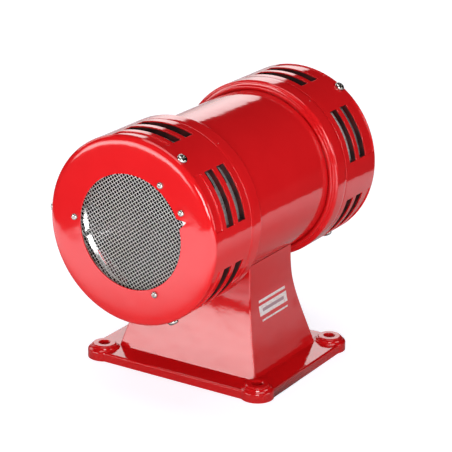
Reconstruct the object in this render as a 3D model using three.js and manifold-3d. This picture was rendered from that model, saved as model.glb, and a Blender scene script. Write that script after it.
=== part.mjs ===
// Motor siren: a two-headed alarm siren driven by one motor, on a cast pedestal.
// Millimetres. +X runs along the rotor axis, -Y faces the side with the rating label, +Z is up.
// The origin is the centre of the base underside.

import * as THREE from 'three';
import { mergeVertices } from 'three/addons/utils/BufferGeometryUtils.js';
import Module from 'manifold-3d';

const wasm = await Module();
wasm.setup();

// ---------------------------------------------------------------- driving dimensions

const AXIS_HEIGHT = 147.5;
const LENGTH = 264.2;
const HEAD_RADIUS = 77.5;
const TUBE_RADIUS = 70;
const TUBE_WALL = 3.2;
const GAP = 0.3;

// How many facets go round a large, a medium and a small turned shape.
const LARGE = 36;
const MEDIUM = 24;
const SMALL = 16;

// Depths are measured from the outer face of a head towards the middle of the siren.
const FACE_THICKNESS = 3.2;
const FACE_EDGE_RADIUS = 4;
const COVER_WALL = 2.6;
const COVER_DEPTH = 54.9;
const FLANGE_DEPTH = 70.9;
const FLANGE_CHAMFER = 2;
const COLLAR_RADIUS = 73.5;
const COLLAR_LENGTH = 3.4;
const SPIGOT = { inner: 67.5, outer: 71.6, front: 51.8 };
const WEB_BACK = 59.2;
const HUB = { radius: 21, bore: 10.5, step: 57.2, back: 67.5 };
const DIMPLE = { radius: 1.6, depth: 60 };
const OPENING_RADIUS = 47.2;
const PORT_DEPTHS = [25.25, 42];
const POCKET_DEPTH = 8.9;
const PORT_WIDTH = 11.2;
const PORT_SPAN = 46.6;
const PORT_ANGLES = [3, 63, 123, 183, 243, 303];
const POCKET_WIDTH = 10.2;
const POCKET_CUT = 0.9;

// Angles go round the rotor axis from straight up towards the label side.
const SCREW_ANGLES = [33, 153, 273];
const COVER_SCREW_DEPTH = 8.5;
const COVER_SCREW = { head: 4.25, height: 2.6, shank: 2, length: 5.2 };
const FACE_SCREW = { head: 2.75, height: 1.9, shank: 1.5, length: 6.2 };
const FACE_SCREWS = [[33, 52.3], [62, 54], [153, 52.3], [273, 52.3]];
const NOTCH_ANGLE = 70;
const NOTCH_RADIUS = 55;
const NOTCH_HALF_WIDTH = 4.5;

const PORT_RING = { outer: 74.6, inner: 71.9, front: 4.6, back: 54.4 };
const SCREEN = { radius: 56.6, front: 3.5, back: 4.3 };
const RETAINER = { outer: 57, inner: 48.6, front: 4.6, back: 6.6 };

const SHAFT_RADIUS = 6;
const STUD_RADIUS = 5;
const STUD_START = 104.8;
const SHAFT_HALF_LENGTH = 117;
const NUT = { radius: 9.8, length: 8, middle: 109.5 };
const IMPELLER = { radius: 71, wall: 2.6, mouth: 13, back: 50.9, plate: 2.9, hub: 12, hubFront: 27 };
const VANE = { front: 16, thickness: 2 };
const ROTOR_PORT_SPAN = 38;
const ROTOR_LEAD = 38.5;
const BEARING = { outer: 16, inner: 6.3, front: 57.5, back: 67.2, pitch: 11.2, ball: 1.7 };
const RACE = { outer: 13.2, inner: 9.2 };

const CORE_HALF_LENGTH = 22;
const ARMATURE_RADIUS = 29.3;
const ARMATURE_SLOTS = 12;
const ARMATURE_SLOT = { width: 4, depth: 14, middle: 24 };
const WINDING = { inner: 12, outer: 27.5, length: 11, width: 3.4, depth: 9.5, middle: 22.2 };
const COMMUTATOR = { radius: 13, start: 40, end: 56 };
const SEGMENT_GAP = { width: 0.7, depth: 2.4 };
const TIE_BOLT = 43.8;
const BOLT_RADIUS = 2.5;
const BOLT_HEAD = { radius: 4.2, height: 2.6 };
const POLE = { bore: 30.2, shoe: 37, yoke: 54, width: 34, height: 30, middle: 42, gap: 38 };
const YOKE_CLEARANCE = 0.4;
const COIL = { height: 41.9, thickness: 7.2, x: 28, y: 22, corner: 5, windowX: 45.2, windowY: 34.8 };
const BRUSH = { x: 49, length: 14, halfX: 5, halfZ: 3, tip: COMMUTATOR.radius + GAP };
const HOLDER = { wall: 1.7, length: 24, middle: 29, pocket: 23, pocketMiddle: 27.3 };
const HOLDER_ARM = { start: 55, width: 9, height: 10, middle: 35.5 };
const HOLDER_FOOT = { thickness: 2, width: 16, height: 18 };
const SPRING = { radius: 2.2, length: 9.8, turns: 5, wire: 0.35 };

const BASE_HALF_X = 71.5;
const BASE_HALF_Y = 88;
const BASE_HEIGHT = 7.8;
const HOLE_X = 60;
const HOLE_Y = 75.5;
const HOLE_RADIUS = 4.4;
const BOSS_RADIUS = 14;
const BOSS_HEIGHT = 12;
const CORNER_RADIUS = 13;
const COLUMN_TOP = 104;
const COLUMN_HALF_X = 33.2;
const COLUMN_HALF_Y = 50.5;
const COLUMN_WALL = 4.5;
const FLARE_SLOPE = 0.27;
const FLARE_BLEND = 9;
const FLARE_END = 69;

const LABEL = { halfWidth: 25, bottom: 45, top: 68, thickness: 0.4 };
const GLAND_HEIGHT = 24;
const GLAND = { thread: 6, hexagon: 9.6, nose: 7.4, passage: 3.6, seat: 66, shoulder: 74, end: 81 };
const GLAND_BOSS = 11;
const LOCKNUT = { start: 50.6, end: 54.2 };
const SADDLE_SCREW = { x: 24, radius: 4, head: 6.4, bottom: 66.9, shoulder: 71.9, end: 80.6 };
const TERMINALS = { x: 34, y: 14, z: 14.7, middleY: 18, middleZ: 65.35, pitch: 11, radius: 3.4 };
const WIRE_HOLE = { x: 27, y: 18, radius: 3 };

// ---------------------------------------------------------------- finishes

const finish = (color, roughness, metalness) => (
  new THREE.MeshStandardMaterial({ color, roughness, metalness })
);
const RED_PAINT = finish(0xd31a20, 0.12, 0.1);
const LABEL_FILM = finish(0xf2e6e4, 0.4, 0);
const NICKEL = finish(0xc9c7c2, 0.25, 1);
const STEEL = finish(0x8d9094, 0.35, 1);
const CAST_ALUMINIUM = finish(0x9b9da0, 0.55, 0.9);
const STEEL_WIRE = finish(0xb9bbbb, 0.3, 1);
const COPPER = finish(0xa85a32, 0.4, 1);
const BRASS = finish(0xb9974c, 0.35, 1);
const GRAPHITE = finish(0x2b2b2d, 0.7, 0.1);
const BLACK_PLASTIC = finish(0x1c1c1e, 0.5, 0);

// ---------------------------------------------------------------- solids and booleans

function signedVolume(points, triangles) {
  const corner = (i) => new THREE.Vector3().fromArray(points, 3 * triangles[i]);
  let volume = 0;
  for (let i = 0; i < triangles.length; i += 3) {
    volume += corner(i).dot(corner(i + 1).cross(corner(i + 2))) / 6;
  }
  return volume;
}

function solid(geometry) {
  geometry.deleteAttribute('normal');
  geometry.deleteAttribute('uv');
  const merged = mergeVertices(geometry, 1e-4);
  const points = new Float32Array(merged.attributes.position.array);
  const index = merged.index.array;
  const triangles = [];
  for (let i = 0; i < index.length; i += 3) {
    const [a, b, c] = index.subarray(i, i + 3);
    if (a !== b && b !== c && c !== a) triangles.push(a, b, c);
  }
  if (signedVolume(points, triangles) < 0) triangles.reverse();
  const mesh = new wasm.Mesh({ numProp: 3, vertProperties: points, triVerts: new Uint32Array(triangles) });
  return new wasm.Manifold(mesh);
}

const joined = (first, ...others) => others.reduce((whole, other) => whole.add(other), first);
const cut = (body, tools) => tools.reduce((rest, tool) => rest.subtract(tool), body);

function node(name, body, material) {
  const { vertProperties, triVerts } = body.getMesh();
  const geometry = new THREE.BufferGeometry();
  geometry.setAttribute('position', new THREE.BufferAttribute(vertProperties, 3));
  geometry.setIndex(new THREE.BufferAttribute(triVerts, 1));
  geometry.computeVertexNormals();
  const mesh = new THREE.Mesh(geometry, material.clone());
  mesh.name = name;
  return mesh;
}

// ---------------------------------------------------------------- basic shapes

function block(sizeX, sizeY, sizeZ, x, y, z, angle = 0) {
  const geometry = new THREE.BoxGeometry(sizeX, sizeY, sizeZ);
  geometry.translate(x, y, z);
  geometry.rotateX(THREE.MathUtils.degToRad(angle));
  return solid(geometry);
}

// A round bar from one point to another.
function bar(radius, from, to, segments = 8) {
  const start = new THREE.Vector3(...from);
  const span = new THREE.Vector3(...to).sub(start);
  const geometry = new THREE.CylinderGeometry(radius, radius, span.length(), segments);
  geometry.translate(0, span.length() / 2, 0);
  const up = new THREE.Vector3(0, 1, 0);
  geometry.applyQuaternion(new THREE.Quaternion().setFromUnitVectors(up, span.clone().normalize()));
  geometry.translate(...from);
  return solid(geometry);
}

// A round bar that stands radially off the rotor axis at one angle.
function radialBar(radius, x, inner, outer, angle) {
  const turn = THREE.MathUtils.degToRad(angle);
  const at = (distance) => [x, -distance * Math.sin(turn), distance * Math.cos(turn)];
  return bar(radius, at(inner), at(outer));
}

// A shape turned about the X axis from a closed outline of [radius, x] points.
function turned(outline, segments) {
  const points = outline.map(([radius, x]) => new THREE.Vector2(radius, x));
  points.push(points[0].clone());
  const geometry = new THREE.LatheGeometry(points, segments);
  geometry.rotateZ(-Math.PI / 2);
  return solid(geometry);
}

// A rectangle whose corner arcs are centred on (x, y) and its mirror images.
function roundedRectangle(x, y, corner) {
  const outline = new THREE.Shape();
  outline.moveTo(x + corner, y);
  outline.absarc(x, y, corner, 0, Math.PI / 2);
  outline.absarc(-x, y, corner, Math.PI / 2, Math.PI);
  outline.absarc(-x, -y, corner, Math.PI, 1.5 * Math.PI);
  outline.absarc(x, -y, corner, 1.5 * Math.PI, 2 * Math.PI);
  return outline;
}

const ring = (inner, outer, x0, x1, segments) => (
  turned([[inner, x0], [outer, x0], [outer, x1], [inner, x1]], segments)
);

// The X position of a depth into the head on one side, which is -1 or +1.
const inside = (side, depth) => side * (LENGTH / 2 - depth);

const headTurned = (side, outline, segments) => (
  turned(outline.map(([radius, depth]) => [radius, inside(side, depth)]), segments)
);

// ---------------------------------------------------------------- screws

// A pan head screw along +Z, with the underside of its head at z = 0.
function panScrew({ head, height, shank, length }) {
  const outline = [
    [0, -length], [shank, -length], [shank, 0], [head, 0],
    [head, 0.45 * height], [0.6 * head, height], [0, height],
  ];
  const geometry = new THREE.LatheGeometry(outline.map(([r, z]) => new THREE.Vector2(r, z)), 8);
  geometry.rotateX(Math.PI / 2);
  return solid(geometry);
}

function faceScrews(side, sideName) {
  return FACE_SCREWS.map(([angle, radius], i) => {
    const screw = node(`face_screw_${sideName}_${i + 1}`, panScrew(FACE_SCREW), NICKEL);
    const turn = THREE.MathUtils.degToRad(angle);
    screw.position.set(inside(side, -GAP / 2), -radius * Math.sin(turn), radius * Math.cos(turn));
    screw.rotation.y = side * Math.PI / 2;
    return screw;
  });
}

function coverScrews(side, sideName) {
  return SCREW_ANGLES.map((angle, i) => {
    const screw = node(`cover_screw_${sideName}_${i + 1}`, panScrew(COVER_SCREW), NICKEL);
    const turn = THREE.MathUtils.degToRad(angle);
    const radius = HEAD_RADIUS + GAP / 2;
    screw.position.set(inside(side, COVER_SCREW_DEPTH), -radius * Math.sin(turn), radius * Math.cos(turn));
    screw.rotation.x = turn;
    return screw;
  });
}

// ---------------------------------------------------------------- head: cover, port ring, screen

const portTool = (side, depth, angle, width = PORT_WIDTH, span = PORT_SPAN) => (
  block(width, span, 30, inside(side, depth), 0, HEAD_RADIUS, angle)
);

const faceScrewHoles = (side, depth) => FACE_SCREWS.map(([angle, radius]) => {
  const turn = THREE.MathUtils.degToRad(angle);
  const y = -radius * Math.sin(turn);
  const z = radius * Math.cos(turn);
  return bar(FACE_SCREW.shank + GAP, [inside(side, -1), y, z], [inside(side, depth), y, z], 8);
});

const coverScrewHoles = (side) => (
  SCREW_ANGLES.map((angle) => (
    radialBar(COVER_SCREW.shank + GAP, inside(side, COVER_SCREW_DEPTH), 70, 80, angle)
  ))
);

function openingNotch(side) {
  const outline = new THREE.Shape();
  outline.moveTo(-NOTCH_HALF_WIDTH, OPENING_RADIUS - 2);
  outline.lineTo(NOTCH_HALF_WIDTH, OPENING_RADIUS - 2);
  outline.lineTo(0, NOTCH_RADIUS);
  const geometry = new THREE.ExtrudeGeometry(outline, { depth: 8, bevelEnabled: false });
  geometry.translate(0, 0, -4);
  geometry.applyMatrix4(new THREE.Matrix4().makeBasis(
    new THREE.Vector3(0, 1, 0), new THREE.Vector3(0, 0, 1), new THREE.Vector3(1, 0, 0),
  ));
  geometry.rotateX(THREE.MathUtils.degToRad(NOTCH_ANGLE));
  geometry.translate(inside(side, 0), 0, 0);
  return solid(geometry);
}

function headCover(side) {
  const edge = [0, 30, 60, 90].map((degrees) => {
    const turn = THREE.MathUtils.degToRad(degrees);
    const radius = HEAD_RADIUS - FACE_EDGE_RADIUS * (1 - Math.sin(turn));
    return [radius, FACE_EDGE_RADIUS * (1 - Math.cos(turn))];
  });
  const shell = headTurned(side, [
    [OPENING_RADIUS, 0], ...edge, [HEAD_RADIUS, COVER_DEPTH],
    [HEAD_RADIUS - COVER_WALL, COVER_DEPTH], [HEAD_RADIUS - COVER_WALL, FACE_THICKNESS],
    [OPENING_RADIUS, FACE_THICKNESS],
  ], LARGE);
  const ports = PORT_ANGLES.flatMap((angle) => PORT_DEPTHS.map((depth) => portTool(side, depth, angle)));
  const floor = HEAD_RADIUS - POCKET_CUT;
  const pocketBand = ring(floor, HEAD_RADIUS + 5, inside(side, 0), inside(side, 20), LARGE);
  const pockets = PORT_ANGLES.map((angle) => (
    pocketBand.intersect(portTool(side, POCKET_DEPTH, angle, POCKET_WIDTH))
  ));
  const holes = [...faceScrewHoles(side, 8), ...coverScrewHoles(side), openingNotch(side)];
  return cut(shell, [...ports, ...pockets, ...holes]);
}

function portRing(side) {
  const { outer, inner, front, back } = PORT_RING;
  const band = ring(inner, outer, inside(side, front), inside(side, back), LARGE);
  const ports = PORT_ANGLES.flatMap((angle) => PORT_DEPTHS.map((depth) => portTool(side, depth, angle)));
  return cut(band, [...ports, ...coverScrewHoles(side)]);
}

function meshScreen(side) {
  const { radius, front, back } = SCREEN;
  const disc = headTurned(side, [[0, front], [radius, front], [radius, back], [0, back]], MEDIUM);
  return cut(disc, faceScrewHoles(side, 8));
}

function screenRetainer(side) {
  const { outer, inner, front, back } = RETAINER;
  return cut(ring(inner, outer, inside(side, front), inside(side, back), MEDIUM), faceScrewHoles(side, 8));
}

// ---------------------------------------------------------------- head: end bracket and bearing

function endBracket(side) {
  const front = COVER_DEPTH + GAP;
  const seat = TUBE_RADIUS + GAP;
  const shell = headTurned(side, [
    [HUB.bore, front], [SPIGOT.inner, front], [SPIGOT.inner, SPIGOT.front],
    [SPIGOT.outer, SPIGOT.front], [SPIGOT.outer, front], [HEAD_RADIUS, front],
    [HEAD_RADIUS, FLANGE_DEPTH - FLANGE_CHAMFER], [HEAD_RADIUS - FLANGE_CHAMFER, FLANGE_DEPTH],
    [COLLAR_RADIUS, FLANGE_DEPTH], [COLLAR_RADIUS, FLANGE_DEPTH + COLLAR_LENGTH],
    [seat, FLANGE_DEPTH + COLLAR_LENGTH], [seat, WEB_BACK],
    [HUB.radius, WEB_BACK], [HUB.radius, HUB.back], [BEARING.outer + GAP, HUB.back],
    [BEARING.outer + GAP, HUB.step], [HUB.bore, HUB.step],
  ], LARGE);
  const dimples = SCREW_ANGLES.map((angle) => (
    radialBar(DIMPLE.radius, inside(side, DIMPLE.depth), HEAD_RADIUS - 4.5, HEAD_RADIUS + 2.5, angle)
  ));
  const boltHoles = [1, -1].map((sign) => {
    const offset = sign * TIE_BOLT;
    return bar(BOLT_RADIUS + GAP, [inside(side, 50), -offset, offset], [inside(side, 62), -offset, offset]);
  });
  return cut(shell, [...dimples, ...boltHoles]);
}

const bearingOuterRace = (side) => (
  ring(RACE.outer, BEARING.outer, inside(side, BEARING.front), inside(side, BEARING.back), SMALL)
);

const bearingInnerRace = (side) => (
  ring(BEARING.inner, RACE.inner, inside(side, BEARING.front), inside(side, BEARING.back), SMALL)
);

function bearingCage(side) {
  const x = inside(side, (BEARING.front + BEARING.back) / 2);
  const balls = [0, 45, 90, 135, 180, 225, 270, 315].map((angle) => {
    const geometry = new THREE.SphereGeometry(BEARING.ball, 6, 3);
    geometry.translate(x, 0, BEARING.pitch);
    geometry.rotateX(THREE.MathUtils.degToRad(angle));
    return solid(geometry);
  });
  return joined(ring(BEARING.pitch - 0.5, BEARING.pitch + 0.5, x - 1, x + 1, 8), ...balls);
}

// ---------------------------------------------------------------- rotor

function shaft() {
  const end = SHAFT_HALF_LENGTH;
  return turned([
    [0, -end], [STUD_RADIUS, -end], [STUD_RADIUS, -STUD_START], [SHAFT_RADIUS, -STUD_START],
    [SHAFT_RADIUS, STUD_START], [STUD_RADIUS, STUD_START], [STUD_RADIUS, end], [0, end],
  ], SMALL);
}

function impeller(side) {
  const { radius, wall, mouth, back, plate, hub, hubFront } = IMPELLER;
  const bore = SHAFT_RADIUS + GAP;
  const drum = headTurned(side, [
    [bore, hubFront], [hub, hubFront], [hub, back - plate], [radius - wall, back - plate],
    [radius - wall, mouth], [radius, mouth], [radius, back], [bore, back],
  ], MEDIUM);
  const vaneMiddle = inside(side, (VANE.front + back - plate) / 2);
  const vaneLength = back - plate - VANE.front + 1;
  const reach = radius - wall - hub + 2;
  const vanes = PORT_ANGLES.map((angle) => (
    block(vaneLength, VANE.thickness, reach, vaneMiddle, 0, hub - 1 + reach / 2, angle + ROTOR_LEAD + 30)
  ));
  const ports = PORT_ANGLES.flatMap((angle) => (
    PORT_DEPTHS.map((depth) => portTool(side, depth, angle + ROTOR_LEAD, PORT_WIDTH, ROTOR_PORT_SPAN))
  ));
  return cut(joined(drum, ...vanes), ports);
}

function impellerNut(side) {
  const geometry = new THREE.CylinderGeometry(NUT.radius, NUT.radius, NUT.length, 6);
  geometry.rotateZ(Math.PI / 2);
  geometry.translate(side * NUT.middle, 0, 0);
  const bore = bar(STUD_RADIUS + GAP, [side * 100, 0, 0], [side * 120, 0, 0], SMALL);
  return solid(geometry).subtract(bore);
}

const slotAngles = Array.from({ length: ARMATURE_SLOTS }, (_, i) => i * 360 / ARMATURE_SLOTS);

function armatureCore() {
  const stack = ring(SHAFT_RADIUS + GAP, ARMATURE_RADIUS, -CORE_HALF_LENGTH, CORE_HALF_LENGTH, MEDIUM);
  const { width, depth, middle } = ARMATURE_SLOT;
  return cut(stack, slotAngles.map((angle) => block(60, width, depth, 0, 0, middle, angle)));
}

function armatureWinding() {
  const { inner, outer, length, width, depth, middle } = WINDING;
  const near = CORE_HALF_LENGTH + GAP;
  const ends = [-1, 1].map((side) => (
    ring(inner, outer, side * near, side * (near + length), ARMATURE_SLOTS)
  ));
  const bars = slotAngles.map((angle) => block(2 * near + 2, width, depth, 0, 0, middle, angle));
  return joined(ends[0], ends[1], ...bars);
}

function commutator() {
  const { radius, start, end } = COMMUTATOR;
  const drum = ring(SHAFT_RADIUS + GAP, radius, start, end, ARMATURE_SLOTS);
  const { width, depth } = SEGMENT_GAP;
  const middle = (start + end) / 2;
  const length = end - start + 2;
  return cut(drum, slotAngles.map((angle) => block(length, width, depth, middle, 0, radius, angle)));
}

// ---------------------------------------------------------------- motor

function motorTube() {
  const end = LENGTH / 2 - WEB_BACK - GAP;
  const wall = ring(TUBE_RADIUS - TUBE_WALL, TUBE_RADIUS, -end, end, LARGE);
  const below = -TUBE_RADIUS - 10;
  const holes = [-1, 1].map((side) => (
    bar(SADDLE_SCREW.radius + GAP, [side * SADDLE_SCREW.x, 0, below], [side * SADDLE_SCREW.x, 0, -50])
  ));
  const wires = bar(WIRE_HOLE.radius, [WIRE_HOLE.x, WIRE_HOLE.y, below], [WIRE_HOLE.x, WIRE_HOLE.y, -50]);
  return cut(wall, [...holes, wires]);
}

function fieldCore() {
  const half = CORE_HALF_LENGTH;
  const yoke = ring(POLE.yoke, TUBE_RADIUS - TUBE_WALL - YOKE_CLEARANCE, -half, half, LARGE);
  const shoes = ring(POLE.bore, POLE.shoe, -half, half, LARGE);
  const sideGap = block(2 * half + 2, 120, POLE.gap, 0, 0, 0);
  const bore = bar(POLE.bore, [-half - 1, 0, 0], [half + 1, 0, 0], LARGE);
  const poles = [-1, 1].map((sign) => (
    block(2 * half, POLE.width, POLE.height, 0, 0, sign * POLE.middle)
  ));
  const boltHoles = [-1, 1].map((sign) => {
    const offset = sign * TIE_BOLT;
    return bar(BOLT_RADIUS + YOKE_CLEARANCE, [-half - 1, -offset, offset], [half + 1, -offset, offset]);
  });
  return cut(joined(yoke, shoes.subtract(sideGap), ...poles), [bore, ...boltHoles]);
}

function fieldCoil(sign) {
  const { thickness, x, y, corner, windowX, windowY } = COIL;
  const height = COIL.height * sign;
  const window = block(windowX, windowY, 20, 0, 0, height);
  const outline = roundedRectangle(x, y, corner);
  const settings = { depth: thickness, bevelEnabled: false, curveSegments: 4 };
  const geometry = new THREE.ExtrudeGeometry(outline, settings);
  geometry.translate(0, 0, height - thickness / 2);
  return solid(geometry).subtract(window);
}

function tieBolt(sign) {
  const y = -sign * TIE_BOLT;
  const z = sign * TIE_BOLT;
  const reach = LENGTH / 2 - COVER_DEPTH;
  const heads = [-1, 1].map((side) => (
    bar(BOLT_HEAD.radius, [side * reach, y, z], [side * (reach + BOLT_HEAD.height), y, z])
  ));
  return joined(bar(BOLT_RADIUS, [-reach - 1, y, z], [reach + 1, y, z]), ...heads);
}

// ---------------------------------------------------------------- brush gear

function brushHolder(sign) {
  const pocketX = 2 * (BRUSH.halfX + GAP);
  const pocketZ = 2 * (BRUSH.halfZ + GAP);
  const webX = inside(1, WEB_BACK) - GAP;
  const { wall, length, middle } = HOLDER;
  const sleeve = block(pocketX + 2 * wall, length, pocketZ + 2 * wall, BRUSH.x, sign * middle, 0);
  const pocket = block(pocketX, HOLDER.pocket, pocketZ, BRUSH.x, sign * HOLDER.pocketMiddle, 0);
  const armX = (webX + HOLDER_ARM.start) / 2;
  const armY = sign * HOLDER_ARM.middle;
  const arm = block(webX - HOLDER_ARM.start, HOLDER_ARM.width, HOLDER_ARM.height, armX, armY, 0);
  const { thickness, width, height } = HOLDER_FOOT;
  const foot = block(thickness, width, height, webX - thickness / 2, armY, 0);
  return joined(sleeve, arm, foot).subtract(pocket);
}

function carbonBrush(sign) {
  const y = sign * (BRUSH.tip + BRUSH.length / 2);
  return block(2 * BRUSH.halfX, BRUSH.length, 2 * BRUSH.halfZ, BRUSH.x, y, 0);
}

class Helix extends THREE.Curve {
  constructor(radius, length, turns) {
    super();
    Object.assign(this, { radius, length, turns });
  }

  getPoint(t, target = new THREE.Vector3()) {
    const turn = 2 * Math.PI * this.turns * t;
    return target.set(this.radius * Math.cos(turn), this.length * t, this.radius * Math.sin(turn));
  }
}

function brushSpring(sign) {
  const wire = new THREE.Shape();
  wire.moveTo(SPRING.wire, 0);
  wire.lineTo(0, SPRING.wire);
  wire.lineTo(-SPRING.wire, 0);
  wire.lineTo(0, -SPRING.wire);
  const start = BRUSH.tip + BRUSH.length + 2 * SPRING.wire;
  const path = new Helix(SPRING.radius, SPRING.length, SPRING.turns);
  const geometry = new THREE.ExtrudeGeometry(wire, { steps: 40, extrudePath: path });
  geometry.translate(BRUSH.x, start, 0);
  if (sign < 0) geometry.rotateZ(Math.PI).translate(2 * BRUSH.x, 0, 0);
  return solid(geometry);
}

// ---------------------------------------------------------------- pedestal

// How far the column's faces stand outside their top size at a height.
const flareAt = (z) => FLARE_SLOPE * FLARE_BLEND * Math.log1p(Math.exp((FLARE_END - z) / FLARE_BLEND));

function column(bottom, top, offset) {
  const geometry = new THREE.BoxGeometry(2, 2, top - bottom, 1, 1, 13);
  geometry.translate(0, 0, (top + bottom) / 2);
  const { position } = geometry.attributes;
  for (let i = 0; i < position.count; i += 1) {
    const flare = flareAt(position.getZ(i)) + offset;
    position.setX(i, position.getX(i) * (COLUMN_HALF_X + flare));
    position.setY(i, position.getY(i) * (COLUMN_HALF_Y + flare));
  }
  return solid(geometry);
}

const tubeRound = (radius) => bar(radius, [-90, 0, AXIS_HEIGHT], [90, 0, AXIS_HEIGHT], LARGE);

function basePlate() {
  const outline = roundedRectangle(BASE_HALF_X - CORNER_RADIUS, BASE_HALF_Y - CORNER_RADIUS, CORNER_RADIUS);
  const settings = { depth: BASE_HEIGHT, bevelEnabled: false, curveSegments: 5 };
  return solid(new THREE.ExtrudeGeometry(outline, settings));
}

function boss(x, y) {
  const outline = [
    [0, 0], [BOSS_RADIUS, 0], [BOSS_RADIUS, BASE_HEIGHT], [11.4, 8.4], [11.2, 10], [9.6, 10.4],
    [9.6, BOSS_HEIGHT], [0, BOSS_HEIGHT],
  ];
  const geometry = new THREE.LatheGeometry(outline.map(([r, z]) => new THREE.Vector2(r, z)), SMALL);
  geometry.rotateX(Math.PI / 2);
  geometry.translate(x, y, 0);
  return solid(geometry);
}

function pedestalCasting() {
  const corners = [[1, 1], [-1, 1], [-1, -1], [1, -1]];
  const bosses = corners.map(([x, y]) => boss(x * HOLE_X, y * HOLE_Y));
  const glandSeat = bar(GLAND_BOSS, [0, 59, GLAND_HEIGHT], [0, GLAND.seat, GLAND_HEIGHT], SMALL);
  const outside = joined(basePlate(), column(0, COLUMN_TOP, 0), glandSeat, ...bosses);
  const cavity = column(-2, COLUMN_TOP, -COLUMN_WALL).subtract(tubeRound(TUBE_RADIUS + GAP + 5));
  const boltHoles = corners.map(([x, y]) => (
    bar(HOLE_RADIUS, [x * HOLE_X, y * HOLE_Y, -2], [x * HOLE_X, y * HOLE_Y, 20], SMALL)
  ));
  const screwHoles = [-1, 1].map((side) => {
    const x = side * SADDLE_SCREW.x;
    return bar(SADDLE_SCREW.radius + GAP, [x, 0, 60], [x, 0, 90]);
  });
  const wires = bar(WIRE_HOLE.radius, [WIRE_HOLE.x, WIRE_HOLE.y, 60], [WIRE_HOLE.x, WIRE_HOLE.y, 100]);
  const glandHole = bar(GLAND.thread + GAP, [0, 50, GLAND_HEIGHT], [0, 70, GLAND_HEIGHT]);
  const saddle = tubeRound(TUBE_RADIUS + GAP);
  return cut(outside, [saddle, cavity, ...boltHoles, ...screwHoles, wires, glandHole]);
}

// A film that follows the flared face on the label side.
function ratingLabel() {
  const { halfWidth, bottom, top, thickness } = LABEL;
  const film = column(0, COLUMN_TOP, GAP + thickness).subtract(column(0, COLUMN_TOP, GAP));
  return film.intersect(block(2 * halfWidth, 30, top - bottom, 0, -60, (top + bottom) / 2));
}

function hexagon(radius, y0, y1) {
  const geometry = new THREE.CylinderGeometry(radius, radius, y1 - y0, 6);
  geometry.translate(0, (y0 + y1) / 2, GLAND_HEIGHT);
  return solid(geometry);
}

function cableGland() {
  const axis = (y) => [0, y, GLAND_HEIGHT];
  const thread = bar(GLAND.thread, axis(50), axis(68));
  const nose = bar(GLAND.nose, axis(GLAND.shoulder - 1), axis(GLAND.end), SMALL);
  const passage = bar(GLAND.passage, axis(45), axis(85));
  return joined(hexagon(GLAND.hexagon, GLAND.seat + GAP, GLAND.shoulder), thread, nose).subtract(passage);
}

function glandLocknut() {
  const bore = bar(GLAND.thread + GAP, [0, 45, GLAND_HEIGHT], [0, 60, GLAND_HEIGHT]);
  return hexagon(GLAND.hexagon, LOCKNUT.start, LOCKNUT.end).subtract(bore);
}

function terminalBlock() {
  const { x, y, z, middleY, middleZ, pitch, radius } = TERMINALS;
  const body = block(x, y, z, 0, middleY, middleZ);
  const bottom = middleZ - z / 2;
  const clamps = [-pitch, 0, pitch].map((at) => (
    bar(radius, [at, middleY, bottom - 2], [at, middleY, bottom + 1], 10)
  ));
  return joined(body, ...clamps);
}

function saddleScrew(side) {
  const x = side * SADDLE_SCREW.x;
  const { radius, bottom, shoulder, end } = SADDLE_SCREW;
  const hexagonHead = bar(SADDLE_SCREW.head, [x, 0, bottom], [x, 0, shoulder], 6);
  return joined(hexagonHead, bar(radius, [x, 0, shoulder - 1.9], [x, 0, end]));
}

// ---------------------------------------------------------------- assembly

function head(side, sideName) {
  const group = new THREE.Group();
  group.add(
    node(`end_bracket_${sideName}`, endBracket(side), RED_PAINT),
    node(`port_ring_${sideName}`, portRing(side), GRAPHITE),
    node(`head_cover_${sideName}`, headCover(side), RED_PAINT),
    node(`mesh_screen_${sideName}`, meshScreen(side), STEEL_WIRE),
    node(`screen_retainer_${sideName}`, screenRetainer(side), STEEL),
    node(`bearing_outer_race_${sideName}`, bearingOuterRace(side), STEEL),
    node(`bearing_cage_${sideName}`, bearingCage(side), BRASS),
    ...faceScrews(side, sideName),
    ...coverScrews(side, sideName),
  );
  return group;
}

function rotor() {
  const group = new THREE.Group();
  group.add(
    node('shaft', shaft(), STEEL),
    node('armature_core', armatureCore(), STEEL),
    node('armature_winding', armatureWinding(), COPPER),
    node('commutator', commutator(), COPPER),
  );
  for (const [side, sideName] of [[-1, 'left'], [1, 'right']]) {
    group.add(
      node(`impeller_${sideName}`, impeller(side), CAST_ALUMINIUM),
      node(`impeller_nut_${sideName}`, impellerNut(side), STEEL),
      node(`bearing_inner_race_${sideName}`, bearingInnerRace(side), STEEL),
    );
  }
  return group;
}

function motor() {
  const group = new THREE.Group();
  group.add(
    node('motor_tube', motorTube(), RED_PAINT),
    node('field_core', fieldCore(), STEEL),
    node('field_coil_upper', fieldCoil(1), COPPER),
    node('field_coil_lower', fieldCoil(-1), COPPER),
    node('tie_bolt_upper', tieBolt(1), STEEL),
    node('tie_bolt_lower', tieBolt(-1), STEEL),
  );
  for (const [sign, place] of [[-1, 'front'], [1, 'rear']]) {
    group.add(
      node(`brush_holder_${place}`, brushHolder(sign), BRASS),
      node(`carbon_brush_${place}`, carbonBrush(sign), GRAPHITE),
      node(`brush_spring_${place}`, brushSpring(sign), STEEL),
    );
  }
  return group;
}

function pedestal() {
  const group = new THREE.Group();
  group.add(
    node('pedestal_casting', pedestalCasting(), RED_PAINT),
    node('rating_label', ratingLabel(), LABEL_FILM),
    node('cable_gland', cableGland(), BLACK_PLASTIC),
    node('gland_locknut', glandLocknut(), BLACK_PLASTIC),
    node('terminal_block', terminalBlock(), BLACK_PLASTIC),
    node('saddle_screw_left', saddleScrew(-1), STEEL),
    node('saddle_screw_right', saddleScrew(1), STEEL),
  );
  return group;
}

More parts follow.
